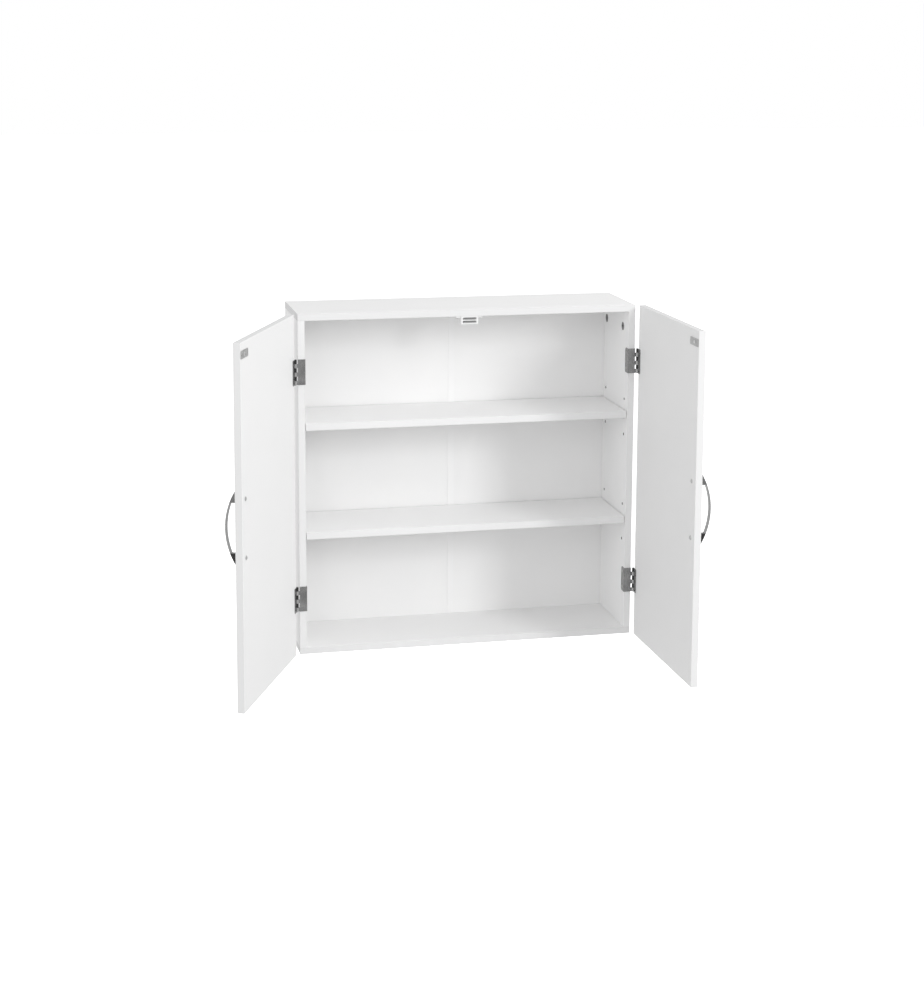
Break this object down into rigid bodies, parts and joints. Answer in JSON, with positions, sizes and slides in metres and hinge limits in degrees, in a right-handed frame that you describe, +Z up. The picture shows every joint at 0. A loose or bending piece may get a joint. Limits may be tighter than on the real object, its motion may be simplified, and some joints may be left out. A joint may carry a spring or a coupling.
{
  "type": "hanging wall cabinet",
  "caption": "Hanging wall cabinet with overlay doors on wrap-around butt hinges, adjustable shelves, bow handles, a magnetic catch and keyhole hangers.",
  "frame": {"origin": "on the wall plane, midway between the round entries of the keyhole hangers, 40 mm below the top", "axes": "+X to the right for someone facing the cabinet, +Y into the wall, +Z up"},
  "size_m": [0.7967, 0.4642, 0.6],
  "materials": {
    "white_board": "white melamine on particle board, fine satin",
    "white_door_board": "white melamine on particle board, smooth satin",
    "white_back_board": "white printed hardboard, satin",
    "white_strip": "white extruded plastic",
    "white_plastic": "white moulded plastic",
    "hinge_steel": "nickel-plated pressed steel, satin",
    "handle_metal": "satin nickel",
    "strike_steel": "zinc-plated pressed steel",
    "pole_steel": "dark zinc-plated steel",
    "ferrite_magnet": "black ferrite",
    "zinc_fitting": "die-cast zinc",
    "shelf_pin_steel": "nickel-plated steel",
    "hanger_steel": "zinc-plated steel",
    "screw_steel": "zinc-plated steel",
    "dowel_beech": "fluted beech"
  },
  "bodies": {
    "carcass": {"back_joining_strip": "white_strip", "back_panel_left": "white_back_board", "back_panel_right": "white_back_board", "bottom_panel": "white_board", "bottom_screws_left": "screw_steel", "bottom_screws_right": "screw_steel", "cabinet_leaf_screws_left": "screw_steel", "cabinet_leaf_screws_right": "screw_steel", "cam_bolts_left": "zinc_fitting", "cam_bolts_right": "zinc_fitting", "cam_locks_left": "zinc_fitting", "cam_locks_right": "zinc_fitting", "catch_body": "white_plastic", "catch_magnet": "ferrite_magnet", "catch_pole_plates": "pole_steel", "catch_screws": "screw_steel", "hinge_left_lower_cabinet_leaf": "hinge_steel", "hinge_left_lower_pin": "hinge_steel", "hinge_left_upper_cabinet_leaf": "hinge_steel", "hinge_left_upper_pin": "hinge_steel", "hinge_right_lower_cabinet_leaf": "hinge_steel", "hinge_right_lower_pin": "hinge_steel", "hinge_right_upper_cabinet_leaf": "hinge_steel", "hinge_right_upper_pin": "hinge_steel", "shelf_lower": "white_board", "shelf_pins_lower": "shelf_pin_steel", "shelf_pins_upper": "shelf_pin_steel", "shelf_upper": "white_board", "side_panel_left": "white_board", "side_panel_right": "white_board", "top_panel": "white_board", "wall_hanger_left": "hanger_steel", "wall_hanger_right": "hanger_steel", "wall_hanger_screws_left": "screw_steel", "wall_hanger_screws_right": "screw_steel", "wood_dowels": "dowel_beech"},
    "door_left": {"bow_handle_left": "handle_metal", "door_leaf_screws_left": "screw_steel", "door_panel_left": "white_door_board", "handle_screws_left": "screw_steel", "hinge_left_lower_door_leaf": "hinge_steel", "hinge_left_upper_door_leaf": "hinge_steel", "strike_plate_left": "strike_steel", "strike_screw_left": "screw_steel"},
    "door_right": {"bow_handle_right": "handle_metal", "door_leaf_screws_right": "screw_steel", "door_panel_right": "white_door_board", "handle_screws_right": "screw_steel", "hinge_right_lower_door_leaf": "hinge_steel", "hinge_right_upper_door_leaf": "hinge_steel", "strike_plate_right": "strike_steel", "strike_screw_right": "screw_steel"}
  },
  "joints": [
    {"name": "left_door_hinge", "type": "hinge", "parent": "carcass", "child": "door_left", "pos_m": [-0.304, -0.16125, -0.26], "axis": [0, 0, -1], "range_deg": [-114, 66]},
    {"name": "right_door_hinge", "type": "hinge", "parent": "carcass", "child": "door_right", "pos_m": [0.304, -0.16125, -0.26], "axis": [0, 0, 1], "range_deg": [-91, 89]}
  ]
}
